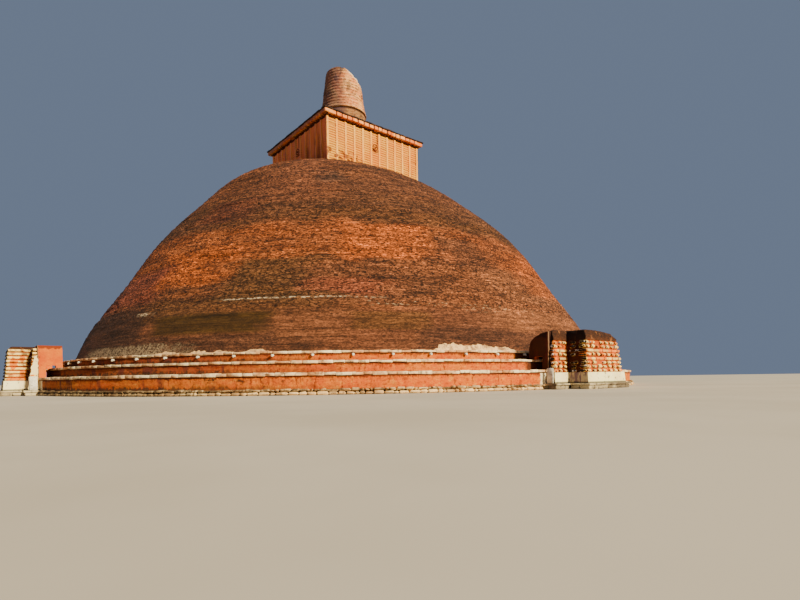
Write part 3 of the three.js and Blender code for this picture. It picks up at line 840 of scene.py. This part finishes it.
# Cornice over the chamber: small dentils in shadow, a course of long brick blocks over them, and
# a dark roof slab whose edge has weathered uneven.
cornice_low, cornice_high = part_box("chamber_cornice")
CORNICE_HALF = cornice_high.x
BLOCK_MIDDLE = 5.281
DENTIL_REACH, DENTIL_MIDDLE, DENTIL_PITCH = 1.172, 5.238, 0.0725
ROOF_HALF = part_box("chamber_roof_slab")[1].x
ROOF_MIDDLE = 5.3295
ROOF_THICK = 0.024


def cornice_finish():
    finish = Finish("cornice_brick")
    broad = finish.grain(6, 1.8, 2).between(0.4, 0.6)
    soot = finish.grain(9, 7.2, 6, 0.7).between(0.54, 0.66)
    finish.ground(broad, (252, 166, 88), (232, 120, 50))
    finish.coat(soot * 0.85, (92, 40, 24))
    # Painted shade on the faces turned away from the lamp.
    finish.coat(finish.painted_shade_side() * 0.8, (134, 80, 72))
    # The underside and the dentils get painted shade, nearly black.
    under = finish.axis("Z").between(5.252, 5.242)
    finish.coat(under * 0.93, (54, 20, 10))
    return finish.done(0.9, finish.grain(60, 60, 6), 0.004)


cornice_brick = cornice_finish()
lots = []
for side in GATE_SIDES.values():
    y = -CORNICE_HALF
    while y < CORNICE_HALF - 0.002:
        wide = min(chance.uniform(0.09, 0.16), CORNICE_HALF - y)
        tall = 0.07 * chance.uniform(0.93, 1.0)
        worn = chance.uniform(0, 0.008)
        form = block(0.16, wide * 0.9, tall, 0.009, 0.0025)
        lots.append(swing(form + (CORNICE_HALF - 0.08 - worn, y + wide / 2, BLOCK_MIDDLE), side))
        y += wide
    for y in np.arange(-1.15, 1.16, DENTIL_PITCH):
        if chance.random() < 0.12:
            continue
        form = block(0.03, 0.036, 0.016, 0.003, 0.001)
        lots.append(swing(form + (DENTIL_REACH, y, DENTIL_MIDDLE), side))
fill = block(2.3, 2.3, cornice_high.z - cornice_low.z, 0.004) + (0, 0, (cornice_low.z + cornice_high.z) / 2)
lots.append(fill)
dress("chamber_cornice", "chamber_brick", "chamber_cornice_blocks",
      *gather(lots), cornice_brick, 40)


def roof_finish():
    finish = Finish("roof_brick")
    patch = finish.grain(8, 8, 6, 0.65).between(0.4, 0.66)
    finish.ground(patch, (38, 28, 24), (74, 50, 38))
    return finish.done(0.95, finish.grain(40, 40, 6), 0.006)


roof_brick = roof_finish()
lots = [block(2.36, 2.36, ROOF_THICK, 0.004) + (0, 0, ROOF_MIDDLE)]
for side in GATE_SIDES.values():
    y = -ROOF_HALF
    while y < ROOF_HALF - 0.002:
        wide = min(chance.uniform(0.05, 0.13), ROOF_HALF - y)
        form = block(0.12, wide * 1.04, ROOF_THICK * chance.uniform(0.8, 1), 0.005, 0.002)
        out = ROOF_HALF - 0.06 - chance.uniform(0, 0.012)
        lots.append(swing(form + (out, y + wide / 2, ROOF_MIDDLE), side))
        y += wide
dress("chamber_roof_slab", "roof_brick", "chamber_roof_edge", *gather(lots), roof_brick, 40)


# Spire: a plain drum and a tapered shaft of brick rings, each a rounded moulding over a groove.
# Its head broke off and left a flat stump that slopes away on the right, with loose brick on it.
shaft_low, shaft_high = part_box("spire_shaft")
SHAFT_FOOT, SHAFT_TOP = shaft_low.z, shaft_high.z
SHAFT_SHARES = (0, 0.12, 0.3, 0.49, 0.73, 0.91, 1)
SHAFT_RADII = (0.52, 0.485, 0.456, 0.434, 0.4, 0.379, 0.357)
SHAFT_ROUND, SHAFT_ROWS = 176, 126
RINGS = 14
BREAK_TURN = math.radians(-33.7)


def spire_finish():
    finish = Finish("spire_brick")
    up = finish.axis("Z")
    tone, joints = brickwork(finish, along=finish.bearing() * 0.44)
    patch = finish.grain(4.5, 4.5, 5).between(0.36, 0.64)
    dark = finish.grain(5.5, 4.4, 5, 0.6).between(0.55, 0.66)
    bands = finish.grain(3, 44).between(0.48, 0.6)
    dots = finish.cells(28, 56)
    finish.ground(patch, (255, 184, 106), (242, 138, 70))
    finish.coat(bands * 0.5, (138, 72, 36))
    finish.coat(dark * 0.8, (66, 50, 40))
    finish.coat(dots.between(0.3, 0.12) * 0.55, (96, 52, 32))
    finish.coat(dots.between(0.76, 0.9) * 0.5, (246, 196, 148))
    finish.coat(tone * 0.2, (222, 176, 132))
    finish.coat(joints * 0.35, (96, 66, 48))
    # Painted shade with some soot in the groove over the drum, painted shade on the faces turned away from
    # the lamp, and loose pale brick on the rim.
    under = up.between(6.0, 5.975) * 0.6 + up.between(5.93, 5.96) * up.between(6.0, 5.99) * 0.35
    finish.coat(under, (70, 38, 24))
    finish.coat(finish.painted_shade_side() * 0.75, (72, 52, 64))
    along = finish.axis("X") * 0.832 - finish.axis("Y") * 0.555
    rim = (up + along * 0.691 + (finish.grain(14) - 0.5) * 0.08).between(6.85, 6.88)
    finish.coat(rim * along.between(0.06, 0.14) * 0.8, (255, 232, 196))
    turn = finish.bearing() * (180 / math.pi) + (finish.grain(9) - 0.5) * 14
    for first, last in ((-113, -101), (158, 176)):
        spot = turn.between(first - 3, first + 3) * turn.between(last + 3, last - 3)
        spot = spot * up.between(6.32, 6.38) * up.between(6.56, 6.48)
        finish.coat(spot * 0.65, (78, 56, 44))
    return finish.done(0.92, finish.grain(60, 60, 5) - joints * 0.5, 0.005)


def broken_head(x, y):
    """Height of the break over a place: nearly flat, with a steep slope to the right."""
    along = x * math.cos(BREAK_TURN) + y * math.sin(BREAK_TURN)
    level = min(6.879 - 0.151 * along, 6.9 - 0.691 * along)
    return min(SHAFT_TOP, level - 0.01 + 0.012 * noise.fractal(Vector((x * 12, y * 12, 0)), 0.6, 2.1, 3))


def shaft_radius(z):
    share = (z - SHAFT_FOOT) / (SHAFT_TOP - SHAFT_FOOT)
    plain = np.interp(share, SHAFT_SHARES, SHAFT_RADII)
    within = share * RINGS % 1
    moulding = 0.014 * (math.sin(math.pi * min(within / 0.78, 1)) ** 0.6 if within < 0.78 else 0)
    return plain - 0.014 + moulding


spire_brick = spire_finish()
HEAD_ROWS = 7
points = []
for row in range(SHAFT_ROWS + HEAD_ROWS):
    for i in range(SHAFT_ROUND):
        angle = 2 * math.pi * i / SHAFT_ROUND
        cos, sin = math.cos(angle), math.sin(angle)
        rim = 6.8
        for _ in range(6):
            reach = shaft_radius(rim)
            rim = broken_head(reach * cos, reach * sin)
        share = min(row / (SHAFT_ROWS - 1), 1)
        z = SHAFT_FOOT + (rim - SHAFT_FOOT) * share
        rough = noise.fractal(Vector((cos * 3, sin * 3, z * 9)), 0.6, 2.1, 3)
        reach = shaft_radius(z) + 0.006 * rough - 0.003
        if row >= SHAFT_ROWS:
            reach *= 1 - (row - SHAFT_ROWS + 1) / (HEAD_ROWS + 0.2)
            loose = 0.01 * noise.noise(Vector((cos * reach * 30, sin * reach * 30, 7)))
            z = min(broken_head(reach * cos, reach * sin) + loose, SHAFT_TOP)
        points.append((reach * cos, reach * sin, z))
faces = closed_faces(SHAFT_ROWS + HEAD_ROWS, SHAFT_ROUND)
dress("spire_shaft", "spire_brick", "spire_rings", points, faces, spire_brick, 60)

DRUM_FOOT, DRUM_CORE = 5.342, 0.46
drum_rows = [(0.485 + 0.006 * (i % 2), DRUM_FOOT + 0.036 * i) for i in range(18)]
drum_rows = [(DRUM_CORE, DRUM_FOOT), *drum_rows, (DRUM_CORE, SHAFT_FOOT)]
points = ring_points(drum_rows, SHAFT_ROUND, lambda angle, radius, z, row: 0.004 * wear(
    radius * math.cos(angle), radius * math.sin(angle), z, 12))
dress("spire_drum", "spire_brick", "spire_drum_brickwork",
      points, ring_faces(len(drum_rows), SHAFT_ROUND, True), spire_brick, 60)


# Gates, from the ground up. Each is drawn for the side on +X and turned to its own side.
# Base step: dark rough stones with a paler course of slabs on them. An upright slab stands on
# it against each end of the plinth.
def gate_plan(flare, back=5.73):
    """Plan of a gate front, counterclockwise: the middle part stands forward of the side parts."""
    side, middle, front, deep = 0.715 + flare, 0.4 + flare, 5.8 + flare, 6.07 + flare
    return [(back, -side), (front, -side), (front, -middle), (deep, -middle),
            (deep, middle), (front, middle), (front, side), (back, side)]


def along_plan(plan, spacing):
    """Places along a plan's edges: position, direction outwards, and the room there."""
    for (x0, y0), (x1, y1) in zip(plan, plan[1:]):
        edge = math.hypot(x1 - x0, y1 - y0)
        count = max(1, round(edge / spacing))
        cuts = np.linspace(0, 1, count + 1)
        cuts[1:-1] += chance.uniform(-0.12, 0.12, count - 1) / count
        facing = math.atan2(x0 - x1, y1 - y0)
        for low, high in zip(cuts, cuts[1:]):
            middle = (low + high) / 2
            yield (x0 + (x1 - x0) * middle, y0 + (y1 - y0) * middle), facing, edge * (high - low)


def course_of_blocks(plan, spacing, depth, bottom, top, cut, rough):
    """A course of blocks laid along a plan, with their faces on it."""
    lots = []
    for (x, y), facing, room in along_plan(plan, spacing):
        form = block(depth, room * 0.97, (top - bottom) * chance.uniform(0.94, 1), cut, rough)
        form = swing(form + (-depth / 2 - chance.uniform(0, rough), 0, 0), facing)
        lots.append(form + (x, y, (bottom + top) / 2))
    return lots


base_stone = stone_finish("base_stone", (196, 178, 140), (112, 96, 74), (30, 24, 18), 8)
for name, side in GATE_SIDES.items():
    lots = course_of_blocks(gate_plan(0.125), 0.12, 0.12, 0.0, 0.05, 0.008, 0.005)
    lots += course_of_blocks(gate_plan(0.14), 0.17, 0.16, 0.05, 0.075, 0.004, 0.002)
    lots = [swing(points, side) for points in lots]
    dress(f"gate_{name}_base_step", "rough_stone", f"gate_{name}_base_stones", *gather(lots), base_stone, 45)
    slabs = [block(0.098, 0.02, 0.195, 0.012, 0.001) + (5.825, hand * 0.819, 0.174) for hand in (-1, 1)]
    slabs = [swing(points, side) for points in slabs]
    dress(f"gate_{name}_base_step", "rough_stone", f"gate_{name}_end_slabs", *gather(slabs), spout_stone, 45)


# Plinth: battered walls under the carved courses, with their lime plaster still on them. The
# coat is white in the sun, stained with black growth, and chipped along its edges.
def walked(plan, reference, step):
    """The plan's points with more between them, so many on each edge as the reference needs."""
    found = []
    edges = zip(plan, plan[1:] + plan[:1], reference, reference[1:] + reference[:1])
    for (x0, y0), (x1, y1), start, end in edges:
        count = max(1, round(math.dist(start, end) / step))
        found += [(x0 + (x1 - x0) * i / count, y0 + (y1 - y0) * i / count) for i in range(count)]
    return found


# Blender draws the places of this noise anew at each start, unless it is given a seed.
noise.seed_set(11)


def loft(levels, step, rough, marks):
    """A closed body through plans at rising heights, its surface moved by noise."""
    points = []
    for z, plan in levels:
        for x, y in walked(plan, levels[0][1], step):
            push = noise.noise_vector(Vector((x * marks, y * marks, z * marks * 1.4))) * rough
            points.append((x + push.x, y + push.y, z))
    return np.array(points), closed_faces(len(levels), len(points) // len(levels))


plinth_plaster = plaster_finish("plinth_plaster", (255, 244, 184), (236, 208, 152), 6, 1)
STEP_TOP, PLINTH_TOP = 0.075, 0.2145
PLINTH_FLARE, PLINTH_BATTER = 0.086, 0.015 / 0.14
for name, side in GATE_SIDES.items():
    heights = np.linspace(STEP_TOP, PLINTH_TOP, 7)
    levels = [(z, gate_plan(PLINTH_FLARE - PLINTH_BATTER * (z - STEP_TOP))) for z in heights]
    points, faces = loft(levels, 0.03, 0.004, 14)
    dress(f"gate_{name}_plinth", "lime_plaster", f"gate_{name}_plinth_plaster",
          swing(points, side), faces, plinth_plaster, 50)


# Carved courses: eight rows of white stone heads that stand out over beds of orange brick. On
# the north and south gates they are single heads, some lost. On the others they are long
# mouldings, with a ninth round the foot of the cap.
COURSE_FOOT, COURSE_TOP, COURSE_COUNT = 0.215, 0.635, 8
COURSE_FLARE = 0.05
COURSE_BACK = 5.765
COURSE_PITCH = (COURSE_TOP - COURSE_FOOT) / COURSE_COUNT


def bed_finish():
    finish = Finish("bed_brick")
    tone, joints = brickwork(finish)
    patch = finish.grain(7, 7, 5).between(0.4, 0.62)
    soot = finish.grain(9, 9, 6, 0.7).between(0.54, 0.66)
    finish.ground(patch, (222, 100, 12), (150, 50, 8))
    finish.coat(tone * 0.3, (110, 38, 10))
    finish.coat(soot * 0.9, (44, 20, 10))
    finish.coat(joints * 0.4, (84, 42, 20))
    # Painted shade, nearly black, on the faces turned away from the lamp.
    finish.coat(finish.painted_shade_side() * 0.9, (30, 14, 10))
    return finish.done(0.92, finish.grain(50, 50, 5) - joints * 0.6, 0.005)


def head_finish():
    finish = Finish("head_stone")
    chosen = finish.cells(11)
    wear_marks = finish.grain(16, 16, 6, 0.7).between(0.52, 0.66)
    finish.ground(chosen.between(0.64, 0.76), (252, 212, 122), (232, 128, 30))
    finish.coat(chosen.between(0.16, 0.08) * 0.5, (160, 116, 76))
    # On the north and south gates the two banded courses are mostly bare brick.
    up = finish.axis("Z")
    bands = up.between(0.368, 0.374) * up.between(0.428, 0.422)
    bands = bands + up.between(0.474, 0.48) * up.between(0.533, 0.527)
    far, near = finish.reaches()
    along_x, along_y = (value.maths("ABSOLUTE", value) for value in (finish.axis("X"), finish.axis("Y")))
    bands = bands * (along_y - along_x).between(0.0, 0.1)
    finish.coat(bands * chosen.between(0.3, 0.36) * 0.9, (240, 122, 24))
    finish.coat(wear_marks * 0.75, (130, 66, 30))
    # Where the middle part meets the side parts the stones are brown: crumbled stone, and painted shade in
    # that corner.
    inner = far.between(5.96, 5.9) * near.between(0.5, 0.48)
    crumbled = finish.grain(12, 12, 5, 0.7).between(0.6, 0.44)
    finish.coat(inner * crumbled * 0.85, (84, 54, 36))
    # Out of the sun they are black: painted shade on the faces turned away from the lamp, with the last grey
    # lime on them in spots.
    spots = finish.grain(24, 24, 4, 0.6).between(0.58, 0.64)
    finish.coat(finish.painted_shade_side(), finish.mix(spots, (34, 22, 18), (230, 226, 232)))
    return finish.done(0.88, finish.grain(40, 40, 6), 0.006)


def carved_row(row, single):
    """The stones of one course, about +X: single heads, or long mouldings laid end to end."""
    lots = []
    flare = COURSE_FLARE * (1 - row / COURSE_COUNT) + 0.015
    bottom = COURSE_FOOT + row * COURSE_PITCH + 0.002
    banded = not single or row in BAND_ROWS
    for (x, y), facing, room in along_plan(gate_plan(flare, COURSE_BACK), 0.2 if banded else 0.125):
        if chance.random() < (0.05 if banded else 0.08):
            continue
        wide = room * (0.995 if banded else chance.uniform(0.62, 0.84))
        tall = COURSE_PITCH * (chance.uniform(0.62, 0.7) if banded else chance.uniform(0.68, 0.84))
        set_back = chance.uniform(0, 0.003) + 0.008 * (single and banded)
        form = block(0.07, wide, tall, 0.008 if banded else 0.016, 0.0014 if banded else 0.004)
        placed = swing(form + (-0.035 - set_back, 0, 0), facing)
        lots.append(placed + (x, y, bottom + tall / 2))
        if not banded:
            snout = block(0.026, wide * 0.4, tall * 0.7, 0.007, 0.002)
            placed = swing(snout + (-0.011, chance.uniform(-0.01, 0.01), 0), facing)
            lots.append(placed + (x, y, bottom + tall * 0.38))
    return lots


bed_brick = bed_finish()
head_stone = head_finish()
BAND_ROWS = (3, 5)
for name, side in GATE_SIDES.items():
    levels = []
    for i in range(COURSE_COUNT * 2 + 1):
        z = COURSE_FOOT + i * COURSE_PITCH / 2
        flare = COURSE_FLARE * (1 - (i // 2) / COURSE_COUNT)
        levels.append((z, gate_plan(flare - 0.012 + 0.008 * (i % 2), COURSE_BACK)))
    points, faces = loft(levels, 0.03, 0.006, 22)
    dress(f"gate_{name}_carved_courses", "gate_brick", f"gate_{name}_brick_beds",
          swing(points, side), faces, bed_brick, 50)
    lots = []
    single = name in ("north", "south")
    for row in range(COURSE_COUNT if single else COURSE_COUNT + 1):
        lots += carved_row(row, single)
    lots = [swing(points, side) for points in lots]
    dress(f"gate_{name}_carved_courses", "carved_stone", f"gate_{name}_carved_heads",
          *gather(lots), head_stone, 60)


# Brick cap: the top of each gate front, weathered to a dark rounded mound of loose courses.
def cap_finish():
    finish = Finish("cap_brick")
    tone, joints = brickwork(finish)
    height_share = finish.axis("Z") + (finish.grain(9, 9, 5) - 0.5) * 0.06
    finish.ground(height_share.between(0.62, 0.7), (86, 46, 22), (46, 28, 17))
    runs = finish.grain(16, 6, 6, 0.7).between(0.48, 0.62)
    finish.coat(runs * 0.8, (34, 20, 12))
    light = finish.grain(20, 7, 5).between(0.58, 0.68)
    finish.coat(light * 0.6, (186, 116, 62))
    finish.coat(tone * 0.25, (140, 76, 36))
    # Painted shade, nearly black, on the faces turned away from the lamp.
    finish.coat(finish.painted_shade_side() * 0.85, (28, 18, 14))
    finish.coat(joints * 0.4, (50, 34, 26))
    return finish.done(0.94, finish.grain(45, 45, 6) - joints * 0.6, 0.007)


cap_brick = cap_finish()
CAP_STEPS = ((0, 0.0), (0.12, 0.0), (0.25, 0.004), (0.4, 0.006), (0.55, 0.010), (0.7, 0.014),
             (0.82, 0.020), (0.92, 0.027), (1, 0.042))


def worn_top(aside):
    """Height of a worn cap's top, which falls away on one side."""
    gentle = 0.77 - math.tan(math.radians(6)) * (aside + 0.1)
    steep = 0.732 - math.tan(math.radians(29)) * (aside - 0.26)
    return min(0.768, gentle, steep)


for name, side in GATE_SIDES.items():
    worn = name in ("north", "south")
    rise = (0.77 if worn else 0.71) - COURSE_TOP
    levels = []
    for k, (share, inward) in enumerate(CAP_STEPS):
        first, *rest = gate_plan(-inward, COURSE_BACK)
        last = rest.pop()
        half = 0.662 - inward
        back = 5.67 + inward * 0.6
        plan = [(back, -half), (COURSE_BACK, -half), first, *rest, last, (COURSE_BACK, half), (back, half)]
        levels.append((COURSE_TOP + share * rise, plan))
    points, faces = loft(levels, 0.026, 0.012, 16)
    if worn:
        limit = np.array([worn_top(y) for y in points[:, 1]])
        points[:, 2] = np.minimum(points[:, 2], limit)
    dress(f"gate_{name}_brick_cap", "gate_brick", f"gate_{name}_cap_brickwork",
          swing(points, side), faces, cap_brick, 60)


# Walls behind each gate front: a back wall, and two wings over the walkway. The east and west
# wings stand square; the north and south ones have lost their upper corner.
def ragged_slab(outline, low, high, step, rough, marks=18):
    """A wall drawn as an outline of x and z, between two values of y, with ragged edges."""
    rim = walked(outline, outline, step)
    points = []
    for y in np.linspace(low, high, 5):
        for x, z in rim:
            push = noise.noise_vector(Vector((x * marks, y * marks * 0.6, z * marks))) * rough
            points.append((x + push.x, y, z + push.z))
    return np.array(points), [face[::-1] for face in closed_faces(5, len(rim))]


def wall_finish():
    finish = Finish("gate_wall_brick")
    tone, joints = brickwork(finish)
    patch = finish.grain(5, 5, 5).between(0.38, 0.64)
    top = (finish.axis("Z") + (finish.grain(14, 4.2, 5) - 0.5) * 0.12).between(0.655, 0.68)
    spots = finish.grain(11).between(0.62, 0.68)
    finish.ground(patch, (236, 120, 14), (218, 92, 8))
    finish.coat(tone * 0.25, (176, 64, 8))
    finish.coat(top * 0.85, (120, 36, 16))
    finish.coat(spots * 0.7, (140, 54, 20))
    finish.coat(joints * 0.35, (120, 66, 40))
    red = finish.grain(7, 2).between(0.5, 0.64)
    # Painted shade, nearly black with dark red streaks, on the faces turned away from the lamp.
    finish.coat(finish.painted_shade_side() * 0.93, finish.mix(red, (22, 10, 8), (76, 16, 20)))
    # The faces turned out of the wings get painted shade, but for a painted highlight along their edge.
    far, near = finish.reaches()
    front = far.between(5.75, 5.758)
    finish.coat(front, (60, 30, 18))
    finish.coat(front * near.between(0.744, 0.75) * 0.6, (176, 132, 94))
    return finish.done(0.9, finish.grain(50, 50, 5) - joints * 0.5, 0.004)


wall_brick = wall_finish()
DOORWAY = [(5.55, 0.396), (5.55, 0.43), (5.67, 0.43), (5.67, 0.255)]
SQUARE_WING = [(5.762, 0.255), (5.762, 0.712), (5.467, 0.712), (5.467, 0.396), *DOORWAY]
WORN_WING = [(5.762, 0.255), (5.762, 0.746), (5.65, 0.728), (5.553, 0.683), (5.484, 0.62), (5.464, 0.52),
             (5.468, 0.396), *DOORWAY]
CORNER_PLASTER = [(5.858, 0.21), (5.852, 0.3), (5.836, 0.4), (5.822, 0.47), (5.80, 0.53), (5.785, 0.565),
                  (5.764, 0.57), (5.764, 0.21)]
for name, side in GATE_SIDES.items():
    worn = name in ("north", "south")
    outline, rough = (WORN_WING, 0.006) if worn else (SQUARE_WING, 0.003)
    for hand, low, patch_low in (("right", 0.665, 0.72), ("left", -0.765, -0.772)):
        points, faces = ragged_slab(outline, low, low + 0.1, 0.02, rough)
        dress(f"gate_{name}_{hand}_wing", "gate_brick", f"gate_{name}_{hand}_wing_brickwork",
              swing(points, side), faces, wall_brick, 50)
        if not worn:
            points, faces = ragged_slab(CORNER_PLASTER, patch_low, patch_low + 0.052, 0.012, 0.013, 34)
            dress(f"gate_{name}_carved_courses", "lime_plaster", f"gate_{name}_{hand}_corner_plaster",
                  swing(points, side), faces, plinth_plaster, 50)
    back_wall = block(0.09, 1.322, 0.376, 0.004) + (5.717, 0, 0.445)
    dress(f"gate_{name}_back_wall", "gate_brick", f"gate_{name}_back_wall_brickwork",
          swing(back_wall, side), BLOCK_FACES, wall_brick, 50)


# Closing lines: the model's box as made and as dressed, for comparison.
low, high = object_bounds()
{"cad": [list(cad_low), list(cad_high)], "visual": [list(low), list(high)]}
